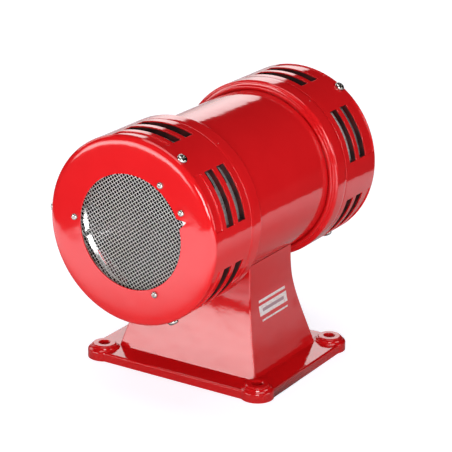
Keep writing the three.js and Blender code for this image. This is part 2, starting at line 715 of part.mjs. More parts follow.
const siren = new THREE.Group();
const powerHead = new THREE.Group();
powerHead.position.z = AXIS_HEIGHT;
powerHead.add(motor(), rotor(), head(-1, 'left'), head(1, 'right'));
siren.add(pedestal(), powerHead);

export default siren;
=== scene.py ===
"""The looks of a two-headed motor siren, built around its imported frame. Metres, in the frame's
axes: +X along the rotor, -Y towards the rating label, +Z up, origin under the base's middle."""

import math

import bmesh
import bpy
from mathutils import Matrix, Vector


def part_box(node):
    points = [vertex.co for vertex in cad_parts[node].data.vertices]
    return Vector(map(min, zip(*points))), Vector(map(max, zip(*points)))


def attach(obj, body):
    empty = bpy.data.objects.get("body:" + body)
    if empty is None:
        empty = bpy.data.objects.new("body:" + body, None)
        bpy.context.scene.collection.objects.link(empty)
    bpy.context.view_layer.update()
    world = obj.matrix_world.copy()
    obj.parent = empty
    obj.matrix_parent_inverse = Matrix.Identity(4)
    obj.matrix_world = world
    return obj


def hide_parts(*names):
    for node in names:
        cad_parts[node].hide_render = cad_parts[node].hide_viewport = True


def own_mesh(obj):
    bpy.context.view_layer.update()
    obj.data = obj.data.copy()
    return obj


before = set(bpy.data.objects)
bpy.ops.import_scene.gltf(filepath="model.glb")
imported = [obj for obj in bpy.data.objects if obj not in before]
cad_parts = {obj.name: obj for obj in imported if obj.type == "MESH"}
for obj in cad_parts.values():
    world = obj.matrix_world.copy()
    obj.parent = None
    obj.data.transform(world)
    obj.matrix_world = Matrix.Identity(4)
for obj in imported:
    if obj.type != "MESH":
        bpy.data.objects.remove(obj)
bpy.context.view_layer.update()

MM = 0.001
STEPS = 144                      # facets round a head, 2.5 degrees each
HEAD_PHASE = 0.5                 # puts facet edges on the ends of the sound ports
ROTOR_PHASE = 1.5
SIDES = ((-1, "left"), (1, "right"))
WELD = 0.01 * MM                 # verts closer than this are merged

# ---------------------------------------------------------------- sizes taken from the frame

cover_low, cover_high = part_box("head_cover_left")
AXIS_Z = (cover_low.z + cover_high.z) / 2
HEAD_RADIUS = (cover_high.z - cover_low.z) / 2
HALF_LENGTH = -cover_low.x
tube_low, tube_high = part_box("motor_tube")
TUBE_RADIUS = (tube_high.z - tube_low.z) / 2
BASE_HALF = (71.5 * MM, 88 * MM)
AXIS = (0, 0, AXIS_Z)

# Depths into a head from its outer face, and angles from straight up towards the label side.
PORTS = ((19.65, 30.85), (36.4, 47.6))
POCKET = (4.8, 14.0)
PORT_ANGLES = tuple(3 + 60 * i for i in range(6))
PORT_HALF_ANGLE = 17.5
SCREW_ANGLES = (33, 153, 273)
FACE_SCREWS = ((33, 52.3), (62, 54), (153, 52.3), (273, 52.3))
GAP = 0.15                       # between a screw head and the enamel
COVER_DEPTH = 54.9
FACE_DOME = ((-17.5, 0.0), (-13, 0.04), (-9.5, 0.16), (-6.5, 0.42), (-4.2, 0.85), (-2.5, 1.45),
             (-1.3, 2.2), (-0.5, 3.15), (-0.1, 4.1), (0, 4.8))
SHEET = 1.1
POCKET_DEPTH = 0.9
LINING = (76.1, 71.9)            # outer and inner radius of the ring behind the ports
LINING_ENDS = (4.6, 54.4)
OPENING = 47.2
NOTCH = ((70.5, 55.0), (68.0, 51.2), (73.0, 51.2))
BRACKET = (55.2, 70.9)           # front and back of the flange
DIMPLE = (60, 1.5, 4.4)          # place, radius and depth of the bracket's cast dimples

DRUM_RADIUS = 71
DRUM_ENDS = (13, 50.9)
DRUM_WALL = 2.6
DRUM_PORT_HALF_ANGLE = 15
HUB_BORE = 6.3
ROTOR_LEAD = 38.5                # the drum's ports stand this far past the cover's at rest
VANE_DEPTH = 32.2
VANE_REACH = 40.5

SCREEN_DEPTH = 4.45
SCREEN_PITCH = 2.63
SCREEN_WIRES = 38
SCREEN_REACH = 49.8
SCREEN_TURN = 53.2               # the weave stands askew to the base
WIRE_RADIUS, WIRE_WAVE = 0.23, 0.24

COLUMN_HALF = (33.2, 50.5)
COLUMN_TOP = 104
COLUMN_WALL = 4.5
BASE_HEIGHT = 7.8
BOLT = (60, 75.5)
GLAND_Z = 24
SADDLE_SCREW_X = 24


def flare_at(z):
    """How far the column stands outside its top size at a height, all in millimetres."""
    slope, softness, start = 0.27, 9, 69
    return slope * softness * math.log1p(math.exp((start - z) / softness))


# ---------------------------------------------------------------- modelling tools


def begin(name, add, **where):
    """Adds a primitive alone, at its size and place, and opens it in edit mode."""
    bpy.ops.object.select_all(action="DESELECT")
    add(**where)
    piece = bpy.context.object
    piece.name = piece.data.name = name
    bpy.ops.object.transform_apply(location=True, rotation=True, scale=True)
    bpy.ops.object.mode_set(mode="EDIT")
    return piece


def pick(kind, test):
    """Selects the verts, edges or faces whose middle and normal, or direction, pass a test."""
    bpy.ops.mesh.select_mode(type=kind)
    bpy.ops.mesh.select_all(action="DESELECT")
    mesh = bmesh.from_edit_mesh(bpy.context.object.data)
    if kind == "VERT":
        found = [v for v in mesh.verts if test(v.co, v.normal)]
    elif kind == "EDGE":
        found = []
        for e in mesh.edges:
            a, b = e.verts[0].co, e.verts[1].co
            if test((a + b) / 2, (b - a).normalized()):
                found.append(e)
    else:
        found = [f for f in mesh.faces if test(f.calc_center_median(), f.normal)]
    for part in found:
        part.select_set(True)
    mesh.select_flush_mode()
    bmesh.update_edit_mesh(bpy.context.object.data)


def close(outward=True):
    """Leaves edit mode with doubles merged and, if asked, every face turned outwards."""
    bpy.ops.mesh.select_mode(type="VERT")
    bpy.ops.mesh.select_all(action="SELECT")
    bpy.ops.mesh.remove_doubles(threshold=WELD)
    if outward:
        bpy.ops.mesh.normals_make_consistent(inside=False)
    bpy.ops.object.mode_set(mode="OBJECT")


def alone(piece):
    bpy.ops.object.select_all(action="DESELECT")
    piece.select_set(True)
    bpy.context.view_layer.objects.active = piece


def modify(piece, kind, **settings):
    """Adds a modifier with its settings and applies it."""
    alone(piece)
    modifier = piece.modifiers.new(kind.title(), kind)
    for name, value in settings.items():
        setattr(modifier, name, value)
    bpy.ops.object.modifier_apply(modifier=modifier.name)


def soften(piece, width, segments=2, angle=35):
    """Rounds the sharp edges and shades the piece smoothly, with its flats kept flat."""
    alone(piece)
    bpy.ops.object.shade_smooth()
    if width:
        modify(piece, "BEVEL", width=width * MM, segments=segments, limit_method="ANGLE",
               angle_limit=math.radians(angle), miter_outer="MITER_ARC")
    modify(piece, "WEIGHTED_NORMAL", keep_sharp=True)


def carve(piece, tool, operation="DIFFERENCE"):
    """Cuts a tool out of a piece, or adds it, and throws the tool away."""
    modify(piece, "BOOLEAN", object=tool, operation=operation, solver="EXACT")
    bpy.data.objects.remove(tool)


def join(piece, *others):
    alone(piece)
    for other in others:
        other.select_set(True)
    bpy.ops.object.join()
    return piece


def copy_of(piece, name):
    twin = piece.copy()
    twin.data = piece.data.copy()
    twin.name = twin.data.name = name
    bpy.context.scene.collection.objects.link(twin)
    return twin


def place(piece, matrix):
    """Puts a piece modelled at the origin where it belongs, in its mesh."""
    piece.data.transform(matrix)
    if matrix.determinant() < 0:
        piece.data.flip_normals()


def about_axis(degrees):
    """A turn about the rotor axis."""
    middle = Matrix.Translation(AXIS)
    return middle @ Matrix.Rotation(math.radians(degrees), 4, "X") @ middle.inverted()


def circle_at(radius, x, phase, steps=STEPS):
    """Settings for a circle round the rotor axis whose first vertex is phase degrees from up."""
    return dict(vertices=steps, radius=radius * MM, location=(x * MM, 0, AXIS_Z),
                rotation=(math.pi / 2, -math.radians(phase), math.pi / 2))


def sweep_along(outline):
    """Extrudes the selected ring, which lies at the first (radius, x) point, through the rest."""
    for (radius, x), (next_radius, next_x) in zip(outline, outline[1:]):
        scale = next_radius / radius
        bpy.ops.mesh.extrude_edges_move(
            TRANSFORM_OT_translate={"value": ((next_x - x) * MM, 0, 0)})
        bpy.ops.transform.resize(value=(1, scale, scale), center_override=AXIS)


def pick_open_edges():
    """Selects the edges round every opening of the piece in hand."""
    bpy.ops.mesh.select_mode(type="EDGE")
    bpy.ops.mesh.select_all(action="DESELECT")
    bpy.ops.mesh.select_non_manifold()


def cap():
    """Puts flat faces on both open ends and closes the piece."""
    pick_open_edges()
    bpy.ops.mesh.edge_face_add()
    close()


def turned(name, outline, phase=HEAD_PHASE, steps=STEPS, closed=False):
    """A shape turned about the rotor axis from (radius, x) points, left in edit mode."""
    piece = begin(name, bpy.ops.mesh.primitive_circle_add, **circle_at(*outline[0], phase, steps))
    sweep_along(outline)
    if closed:
        pick_open_edges()
        bpy.ops.mesh.bridge_edge_loops()
    return piece


def post(name, x, y, outline, steps=48):
    """A solid turned about a vertical line from (radius, z) points, closed at both ends."""
    piece = begin(name, bpy.ops.mesh.primitive_circle_add, vertices=steps,
                  radius=outline[0][0] * MM, location=(x * MM, y * MM, outline[0][1] * MM))
    for (radius, z), (next_radius, next_z) in zip(outline, outline[1:]):
        bpy.ops.mesh.extrude_edges_move(
            TRANSFORM_OT_translate={"value": (0, 0, (next_z - z) * MM)})
        scale = next_radius / radius
        bpy.ops.transform.resize(value=(scale, scale, 1), center_override=(x * MM, y * MM, 0))
    cap()
    return piece


def cylinder_tool(name, radius, start, end, steps=48):
    """A plain cylinder between two points, in millimetres."""
    start, end = Vector(start) * MM, Vector(end) * MM
    span = end - start
    turn = span.to_track_quat("Z", "Y").to_euler()
    tool = begin(name, bpy.ops.mesh.primitive_cylinder_add, vertices=steps, radius=radius * MM,
                 depth=span.length, location=(start + end) / 2, rotation=turn)
    close()
    return tool


def polar(point):
    """(angle, radius in mm) of a point, the angle from straight up towards the label side."""
    y, z = point.y, point.z - AXIS_Z
    return math.degrees(math.atan2(-y, z)) % 360, math.hypot(y, z) / MM


def near_angle(angle, others, reach):
    return any(abs((angle - other + 180) % 360 - 180) < reach for other in others)


def head_x(side, depth):
    """The x in mm of a depth into the head on one side."""
    return side * (HALF_LENGTH / MM - depth)


def depth_of(side, point):
    return HALF_LENGTH / MM - side * point.x / MM


def at_head(side, outline):
    return [(radius, head_x(side, depth)) for radius, depth in outline]


def arc(radius, depth, size, start, end, pieces=6):
    """(radius, depth) points of a rounded corner about a centre."""
    turns = [math.radians(start + (end - start) * i / pieces) for i in range(pieces + 1)]
    return [(radius + size * math.sin(t), depth - size * math.cos(t)) for t in turns]


def hand_over(piece, body, slot, finish, *nodes):
    """Gives a finished piece its body, its finish and the CAD nodes it stands for. The slot
    argument is not used.
    """
    piece.data.materials.clear()
    piece.data.materials.append(finish)
    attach(piece, body)
    if nodes:
        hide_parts(*nodes)


# ---------------------------------------------------------------- finishes


class Wire:
    """One number that varies over a surface. Arithmetic on it adds Math nodes."""

    def __init__(self, finish, socket):
        self.finish = finish
        self.socket = socket

    def _with(self, operation, first, second):
        sources = [x.socket if isinstance(x, Wire) else x for x in (first, second)]
        made = self.finish.add("ShaderNodeMath", {"operation": operation}, dict(enumerate(sources)))
        return Wire(self.finish, made.outputs[0])

    def __add__(self, other):
        return self._with("ADD", self, other)

    def __radd__(self, other):
        return self._with("ADD", other, self)

    def __sub__(self, other):
        return self._with("SUBTRACT", self, other)

    def __rsub__(self, other):
        return self._with("SUBTRACT", other, self)

    def __mul__(self, other):
        return self._with("MULTIPLY", self, other)

    def __rmul__(self, other):
        return self._with("MULTIPLY", other, self)

    def __pow__(self, other):
        return self._with("POWER", self, other)

    def __abs__(self):
        made = self.finish.add("ShaderNodeMath", {"operation": "ABSOLUTE"}, {0: self})
        return Wire(self.finish, made.outputs[0])


class Finish:
    """A material under construction round one Principled shader."""

    def __init__(self, name, **constants):
        self.material = bpy.data.materials.new(name)
        self.material.use_nodes = True
        self.tree = self.material.node_tree
        self.shader = self.tree.nodes["Principled BSDF"]
        for socket, value in constants.items():
            self.shader.inputs[socket.replace("_", " ")].default_value = value
        self.place = self.add("ShaderNodeTexCoord").outputs["Object"]

    def add(self, kind, settings=None, sockets=None, stops=None):
        """Adds a node: its settings first, then a ramp's stops, then socket values and links."""
        made = self.tree.nodes.new(kind)
        for name, value in (settings or {}).items():
            setattr(made, name, value)
        if stops:
            ramp = made.color_ramp.elements
            while len(ramp) < len(stops):
                ramp.new(0.5)
            for stop, (position, colour) in zip(ramp, stops):
                stop.position = position
                stop.color = colour
        for name, value in (sockets or {}).items():
            if isinstance(value, Wire):
                value = value.socket
            if isinstance(value, bpy.types.NodeSocket):
                self.tree.links.new(value, made.inputs[name])
            else:
                made.inputs[name].default_value = value
        return made

    def noise(self, size, detail=2.0, rough=0.5, stretch=None):
        """Smooth noise from 0 to 1 whose blobs are about size millimetres."""
        spot = self.place
        if stretch:
            spot = self.add("ShaderNodeMapping", None,
                            {"Vector": spot, "Scale": stretch}).outputs[0]
        made = self.add("ShaderNodeTexNoise", {"noise_dimensions": "3D"},
                        {"Vector": spot, "Scale": 1 / (size * MM), "Detail": detail,
                         "Roughness": rough})
        return Wire(self, made.outputs["Fac"])

    def between(self, value, low, high):
        """Zero below low and one above high, with a smooth rise between."""
        made = self.add("ShaderNodeMapRange", {"interpolation_type": "SMOOTHSTEP"},
                        {"Value": value, "From Min": low, "From Max": high})
        return Wire(self, made.outputs["Result"])

    def blend(self, share, first, second):
        """A colour between two others, given as colours or sockets."""
        return self.add("ShaderNodeMix", {"data_type": "RGBA", "blend_type": "MIX"},
                        {0: share, 6: first, 7: second}).outputs[2]

    def spot(self):
        """The x, y and z of the place as numbers."""
        made = self.add("ShaderNodeSeparateXYZ", None, {0: self.place})
        return [Wire(self, made.outputs[i]) for i in range(3)]

    def feed(self, socket, source):
        source = source.socket if isinstance(source, Wire) else source
        self.tree.links.new(source, self.shader.inputs[socket])

    def bump(self, height, distance):
        """Feeds the shader a normal from a height between 0 and 1, distance in millimetres."""
        made = self.add("ShaderNodeBump", None,
                        {"Height": height, "Distance": distance * MM, "Strength": 1.0})
        self.feed("Normal", made.outputs[0])


def grey(level):
    return (level, level, level, 1)


def enamel(name, light, deep, peel=1.0):
    """Glossy red enamel: flow, orange peel, faint dust and a little depth of colour."""
    paint = Finish(name, IOR=1.6)
    drift = paint.noise(38, 3.0)
    colour = paint.blend(drift, deep, light)
    dust = paint.between(paint.noise(0.9, 1.0), 0.76, 0.84)
    colour = paint.blend(dust * 0.05, colour, (0.95, 0.35, 0.33, 1))
    paint.feed("Base Color", colour)
    paint.feed("Roughness", 0.05 + paint.noise(14, 2.0) * 0.05 + dust * 0.15)
    flow = paint.noise(16, 1.0) * 0.75 + paint.noise(2.2, 2.0) * 0.06 * peel
    paint.bump(flow + dust * 0.012, 0.32)
    return paint.material


def dark_lining():
    """The ring behind the sound ports: very dark red, clouded between two tones."""
    paint = Finish("port lining", Coat_Weight=0.25, Coat_Roughness=0.2)
    cloud = paint.noise(9, 4.0)
    # Two very dark reds, blended in clouds.
    darker_red, dark_red = (0.012, 0.0005, 0.0005, 1), (0.07, 0.002, 0.002, 1)
    paint.feed("Base Color", paint.blend(paint.between(cloud, 0.35, 0.7), darker_red, dark_red))
    paint.feed("Roughness", 0.38 + cloud * 0.25)
    paint.bump(paint.noise(1.4, 3.0), 0.10)
    return paint.material


def bright_wire():
    """Galvanised woven wire: patchy zinc with duller spots."""
    zinc = Finish("screen wire", Metallic=1.0)
    bloom = zinc.noise(3.5, 3.0)
    zinc.feed("Base Color", zinc.blend(bloom, (0.78, 0.76, 0.76, 1), (0.98, 0.96, 0.95, 1)))
    zinc.feed("Roughness", 0.30 + zinc.noise(1.2, 2.0) * 0.22)
    zinc.bump(zinc.noise(0.6, 2.0), 0.03)
    return zinc.material


def plated(name, low, high, rough, spread, brushed=(1, 1, 1), size=2.0):
    """Plated or machined metal: colour drift, wiped roughness and fine tool marks."""
    metal = Finish(name, Metallic=1.0)
    metal.feed("Base Color", metal.blend(metal.noise(6, 3.0), low, high))
    marks = metal.noise(size, 3.0, stretch=brushed)
    metal.feed("Roughness", rough + marks * spread)
    metal.bump(marks, 0.015)
    return metal.material


def cast_metal():
    """Sand-cast aluminium: near black, greyer outside, and a painted highlight: a bright band on
    the inner wall, lit by the glint lamp.
    """
    metal = Finish("impeller casting", Specular_IOR_Level=0.05)
    skin = metal.noise(1.6, 5.0, 0.65)
    grain = metal.between(skin, 0.3, 0.65)
    x, y, z = metal.spot()
    radius = (y * y + (z - AXIS_Z) * (z - AXIS_Z)) ** 0.5
    reach = abs(x)
    # Painted highlight: bare-metal colour in a band on the drum's inner wall between the port rows,
    # where the glint lamp shines.
    highlight_land_start = metal.between(reach, 94.2 * MM, 95.0 * MM)
    highlight_land = highlight_land_start * (1 - metal.between(reach, 99.6 * MM, 100.4 * MM))
    painted_highlight = metal.between(radius, 67.6 * MM, 68.2 * MM) * highlight_land
    outside = metal.between(radius, 69.6 * MM, 70.4 * MM) * 0.4
    # Near black over the rest of the casting.
    near_black = metal.blend(grain, grey(0.003), grey(0.012))
    bare_metal_and_highlight = metal.blend(grain, (0.40, 0.39, 0.39, 1), (0.80, 0.79, 0.78, 1))
    metal.feed("Base Color", metal.blend(painted_highlight + outside, near_black, bare_metal_and_highlight))
    metal.feed("Roughness", 0.42 + metal.noise(5, 2.0) * 0.25)
    metal.bump(skin, 0.14)
    return metal.material


def laminations():
    """Stacked punched sheets: fine lines across the rotor axis, in a grey that drifts at random
    towards a darker blue-grey.
    """
    steel = Finish("lamination stack", Metallic=0.9)
    sheets = steel.add("ShaderNodeTexWave",
                       {"wave_type": "BANDS", "bands_direction": "X", "wave_profile": "SAW"},
                       {"Vector": steel.place, "Scale": 1 / (20 * 0.6 * MM), "Distortion": 0.0})
    edge = Wire(steel, sheets.outputs["Fac"])
    tone = steel.noise(7, 3.0)
    steel.feed("Base Color", steel.blend(tone, (0.13, 0.14, 0.17, 1), (0.34, 0.34, 0.36, 1)))
    steel.feed("Roughness", 0.38 + edge * 0.22)
    steel.bump(edge, 0.08)
    return steel.material


def windings(name, lines):
    """Varnished copper wire wound in close turns."""
    copper = Finish(name, Coat_Weight=0.6, Coat_Roughness=0.15)
    turns = copper.add("ShaderNodeTexWave",
                       {"wave_type": "BANDS", "bands_direction": lines, "wave_profile": "SIN"},
                       {"Vector": copper.place, "Scale": 1 / (20 * 0.8 * MM), "Distortion": 0.6,
                        "Detail": 1.0, "Detail Scale": 0.4})
    wire = Wire(copper, turns.outputs["Fac"])
    copper.feed("Base Color", copper.blend(wire, (0.10, 0.02, 0.006, 1), (0.62, 0.20, 0.07, 1)))
    copper.feed("Metallic", 0.55 + wire * 0.35)
    copper.feed("Roughness", 0.32 + copper.noise(4, 2.0) * 0.2)
    copper.bump(wire, 0.3)
    return copper.material


def segments():
    """Commutator copper, polished where the brushes run and browned beside the track."""
    copper = Finish("commutator copper", Metallic=1.0)
    x = copper.spot()[0]
    track = copper.between(x, 0.0425, 0.0435) * (1 - copper.between(x, 0.0545, 0.0555))
    rings = copper.noise(1.2, 2.0, stretch=(60, 1, 1))
    copper.feed("Base Color", copper.blend(track, (0.33, 0.13, 0.06, 1), (0.72, 0.34, 0.20, 1)))
    copper.feed("Roughness", 0.48 - track * 0.26 + rings * 0.12)
    copper.bump(rings, 0.02)
    return copper.material


def moulded(name, low, high, rough):
    """Moulded black plastic with a fine spark-eroded grain."""
    plastic = Finish(name)
    plastic.feed("Base Color", plastic.blend(plastic.noise(11, 2.0), low, high))
    grain = plastic.noise(0.55, 2.0)
    plastic.feed("Roughness", rough + grain * 0.18)
    plastic.bump(grain, 0.04)
    return plastic.material


def graphite():
    """Pressed carbon: dull, slightly layered, with glints of copper dust."""
    carbon = Finish("brush carbon", Metallic=0.2)
    glint = carbon.between(carbon.noise(0.5, 1.0), 0.68, 0.74)
    layers = carbon.noise(1.0, 3.0, stretch=(1, 0.2, 3))
    black, copper_dust = (0.028, 0.028, 0.030, 1), (0.42, 0.22, 0.14, 1)
    carbon.feed("Base Color", carbon.blend(glint * 0.6, black, copper_dust))
    carbon.feed("Roughness", 0.5 + layers * 0.25)
    carbon.bump(layers, 0.05)
    return carbon.material


def label_print(name, worn, full):
    """Screen-printed ink, a touch thin in places."""
    ink = Finish(name, Coat_Weight=0.4, Coat_Roughness=0.1)
    thin = ink.between(ink.noise(1.6, 4.0, 0.6), 0.30, 0.52)
    ink.feed("Base Color", ink.blend(thin, worn, full))
    ink.feed("Roughness", 0.34 + ink.noise(5, 2.0) * 0.15)
    ink.bump(ink.noise(0.8, 2.0), 0.02)
    return ink.material


ENAMEL_LIGHT = (0.74, 0.013, 0.016, 1)
ENAMEL_DEEP = (0.66, 0.009, 0.012, 1)
CASTING_LIGHT = (0.66, 0.008, 0.010, 1)
CASTING_DEEP = (0.56, 0.006, 0.008, 1)
housing_paint = enamel("housing enamel", ENAMEL_LIGHT, ENAMEL_DEEP)
pedestal_paint = enamel("pedestal enamel", CASTING_LIGHT, CASTING_DEEP, peel=1.6)
lining = dark_lining()
wire_finish = bright_wire()
nickel = plated("nickel screw", (0.46, 0.43, 0.40, 1), (0.66, 0.63, 0.60, 1), 0.16, 0.16)
blackened = plated("blackened steel", grey(0.003), grey(0.012), 0.45, 0.25)
zinc = plated("zinc plate", (0.40, 0.41, 0.42, 1), (0.62, 0.62, 0.60, 1), 0.28, 0.22)
machined = plated("machined steel", (0.42, 0.42, 0.43, 1), (0.60, 0.60, 0.61, 1), 0.18, 0.20,
                  (40, 1, 1), 4.0)
stack = laminations()
casting = cast_metal()
field_wire = windings("field winding", "Z")
armature_wire = windings("armature winding", "X")
commutator_copper = segments()
brass = plated("brass sheet", (0.50, 0.34, 0.10, 1), (0.72, 0.54, 0.22, 1), 0.22, 0.22,
               (1, 8, 1), 3.0)
carbon = graphite()
spring_wire = plated("spring steel", (0.30, 0.30, 0.32, 1), (0.50, 0.50, 0.52, 1), 0.2, 0.15)
plastic = moulded("gland plastic", (0.012, 0.012, 0.013, 1), (0.030, 0.030, 0.032, 1), 0.38)
phenolic = moulded("terminal phenolic", (0.020, 0.016, 0.014, 1), (0.045, 0.036, 0.030, 1), 0.30)
ink = label_print("label print", (0.78, 0.36, 0.36, 1), (0.86, 0.80, 0.80, 1))
stripe_ink = label_print("label stripe", (0.46, 0.20, 0.24, 1), (0.40, 0.24, 0.28, 1))


# ---------------------------------------------------------------- heads


def in_port(side, point):
    angle, _ = polar(point)
    depth = depth_of(side, point)
    inside = any(front < depth < back for front, back in PORTS)
    return inside and near_angle(angle, PORT_ANGLES, PORT_HALF_ANGLE)


def head_cover(side, side_name):
    """The pressed cover: a face with the round opening, and a wall with its pockets and ports."""
    radius = HEAD_RADIUS / MM
    edge = [(radius + step, depth) for step, depth in FACE_DOME]
    loops = [POCKET[1], *PORTS[0], *PORTS[1], COVER_DEPTH]
    outline = [(OPENING, 0), *edge, *[(radius, depth) for depth in loops]]
    cover = turned("head_cover_shell_" + side_name, at_head(side, outline))
    pick("FACE", lambda at, _: in_port(side, at))
    bpy.ops.mesh.delete(type="FACE")
    pick("FACE", lambda at, _: POCKET[0] < depth_of(side, at) < POCKET[1]
         and near_angle(polar(at)[0], PORT_ANGLES, PORT_HALF_ANGLE))
    bpy.ops.mesh.extrude_region_move()
    floor = (radius - POCKET_DEPTH) / radius
    bpy.ops.transform.resize(value=(1, floor, floor), center_override=AXIS)
    for angle, reach in NOTCH:
        pick("VERT", lambda at, _: polar(at)[1] < OPENING + 1
             and near_angle(polar(at)[0], (angle,), 0.6))
        scale = reach / OPENING
        bpy.ops.transform.resize(value=(1, scale, scale), center_override=AXIS)
    close()
    modify(cover, "SOLIDIFY", thickness=SHEET * MM, offset=-1, use_even_offset=True)
    soften(cover, 0.5, 3, 40)
    hand_over(cover, "housing", "housing_paint", housing_paint, "head_cover_" + side_name)


def port_ring(side, side_name):
    """The lining ring behind the cover, open at the same ports."""
    outer, inner = LINING
    loops = [LINING_ENDS[0], *PORTS[0], *PORTS[1], LINING_ENDS[1]]
    ring = turned("port_lining_" + side_name, at_head(side, [(outer, depth) for depth in loops]))
    pick("FACE", lambda at, _: in_port(side, at))
    bpy.ops.mesh.delete(type="FACE")
    close()
    modify(ring, "SOLIDIFY", thickness=(outer - inner) * MM, offset=-1, use_even_offset=True)
    soften(ring, 0.3, 2, 40)
    hand_over(ring, "housing", "port_ring_dark", lining, "port_ring_" + side_name)


def end_bracket(side, side_name):
    """The cast bracket: flange, rounded rear edge, collar over the tube, web and bearing hub."""
    front, back = BRACKET
    radius = HEAD_RADIUS / MM
    socket = TUBE_RADIUS / MM + 0.04
    dimple_at, dimple_radius, dimple_depth = DIMPLE
    rear_edge = [(r, 2 * (back - 2) - d) for r, d in arc(radius - 2, back - 2, 2, 90, 0)]
    outline = [
        (10.5, front), (67.5, front), (67.5, 51.8), (71.6, 51.8), (71.6, front),
        (radius - 0.6, front), (radius, front + 0.6), (radius, dimple_at), *rear_edge,
        (73.9, back), (73.5, back + 0.4), (73.5, back + 2.8), (72.9, back + 3.4),
        (socket, back + 3.4), (socket, 59.2), (23, 59.2), (21, 61.2), (21, 67.5),
        (16.3, 67.5), (16.3, 57.2), (10.5, 57.2),
    ]
    bracket = turned("end_bracket_shell_" + side_name, at_head(side, outline), closed=True)
    floor = (radius - dimple_depth) / radius
    for angle in SCREW_ANGLES:
        def on_spot(at, _):
            return (abs(depth_of(side, at) - dimple_at) < 0.1 and polar(at)[1] > radius - 1
                    and near_angle(polar(at)[0], (angle,), 0.6))
        pick("VERT", on_spot)
        bpy.ops.mesh.bevel(offset=dimple_radius * MM, affect="VERTICES", segments=3, profile=0.5,
                           offset_type="OFFSET")
        pick("FACE", on_spot)
        bpy.ops.mesh.extrude_region_move()
        bpy.ops.transform.resize(value=(1, floor, floor), center_override=AXIS)
    close()
    soften(bracket, 0, 0)
    hand_over(bracket, "housing", "housing_paint", housing_paint, "end_bracket_" + side_name)


def motor_tube():
    """The plain tube, 3.2 mm thick, with its outer corners broken."""
    end = tube_high.x / MM
    radius = TUBE_RADIUS / MM
    inside = radius - 3.2
    outline = [(inside, -end), (radius - 0.3, -end), (radius, -end + 0.3), (radius, 0),
               (radius, end - 0.3), (radius - 0.3, end), (inside, end)]
    tube = turned("motor_tube_shell", outline, closed=True)
    close()
    soften(tube, 0, 0)
    hand_over(tube, "housing", "housing_paint", housing_paint, "motor_tube")


def woven_wires(name, lean):
    """One family of wavy wires in the X = 0 plane along Y, centred on the rotor axis."""
    count, pitch, per_pitch = SCREEN_WIRES, SCREEN_PITCH, 3
    strands = []
    for phase in (0, 1):
        start_y = -count / 2 * pitch
        start_z = AXIS_Z + (phase - count // 2) * pitch * MM
        heights = [WIRE_WAVE * lean * math.cos(math.pi * (i / per_pitch - count / 2 + phase))
                   for i in range(count * per_pitch + 1)]
        strand = begin(name, bpy.ops.mesh.primitive_circle_add, vertices=6,
                       radius=WIRE_RADIUS * MM, location=(heights[0] * MM, start_y * MM, start_z),
                       rotation=(math.pi / 2, 0, 0))
        for low, high in zip(heights, heights[1:]):
            bpy.ops.mesh.extrude_edges_move(TRANSFORM_OT_translate={
                "value": ((high - low) * MM, pitch / per_pitch * MM, 0)})
        bpy.ops.object.mode_set(mode="OBJECT")
        strands.append(strand)
    wires = join(*strands)
    modify(wires, "ARRAY", count=count // 2 + 1, use_relative_offset=False,
           use_constant_offset=True, constant_offset_displace=(0, 0, 2 * pitch * MM))
    return wires


def mesh_screen(side, side_name):
    """Two crossing families of woven wires, cut round, with a flat binding at their ends."""
    warp = woven_wires("mesh_weave_" + side_name, 1)
    weft = woven_wires("weft", -1)
    place(weft, about_axis(90))
    screen = join(warp, weft)
    place(screen, Matrix.Translation((head_x(side, SCREEN_DEPTH) * MM, 0, 0))
          @ about_axis(SCREEN_TURN))
    bpy.ops.object.mode_set(mode="EDIT")
    pick("VERT", lambda at, _: polar(at)[1] > SCREEN_REACH)
    bpy.ops.mesh.delete(type="VERT")
    bpy.ops.mesh.select_all(action="SELECT")
    bpy.ops.mesh.fill_holes(sides=8)
    close()
    alone(screen)
    bpy.ops.object.shade_smooth()
    section = [(49.2, 3.6), (56.6, 3.6), (56.6, 4.3), (49.2, 4.3)]
    binding = turned("binding", at_head(side, section), steps=72, closed=True)
    close()
    join(screen, binding)
    hand_over(screen, "housing", "screen_wire", wire_finish, "mesh_screen_" + side_name)


# ---------------------------------------------------------------- rotor


def impeller(side, side_name):
    """A drum with six ports, open at the mouth, with a hub and six vanes."""
    mouth, back = DRUM_ENDS
    depths = [mouth, *PORTS[0], *PORTS[1], back]
    outline = [(DRUM_RADIUS, depth) for depth in depths] + [(HUB_BORE, back)]
    drum = turned("impeller_drum_" + side_name, at_head(side, outline), phase=ROTOR_PHASE)
    middles = [angle + ROTOR_LEAD for angle in PORT_ANGLES]
    pick("FACE", lambda at, _: any(a < depth_of(side, at) < b for a, b in PORTS)
         and near_angle(polar(at)[0], middles, DRUM_PORT_HALF_ANGLE))
    bpy.ops.mesh.delete(type="FACE")
    close()
    modify(drum, "SOLIDIFY", thickness=DRUM_WALL * MM, offset=-1, use_even_offset=True)
    section = [(HUB_BORE, 27), (11, 27), (12, 28), (12.4, 49), (HUB_BORE, 49)]
    hub = turned("hub", at_head(side, section), steps=48, closed=True)
    close()
    parts = [hub]
    vane_z = AXIS_Z + VANE_REACH * MM
    for middle in middles:
        vane = begin("vane", bpy.ops.mesh.primitive_cube_add, size=1,
                     scale=(33 * MM, 2 * MM, 58 * MM),
                     location=(head_x(side, VANE_DEPTH) * MM, 0, vane_z))
        pick("FACE", lambda at, normal: normal.x * side > 0.9)
        bpy.ops.transform.resize(value=(1, 0.55, 1), center_override=(0, 0, vane_z))
        close()
        place(vane, about_axis(middle + 30))
        parts.append(vane)
    join(drum, *parts)
    soften(drum, 0.4, 2, 40)
    hand_over(drum, "rotor", "impeller_cast", casting, "impeller_" + side_name)


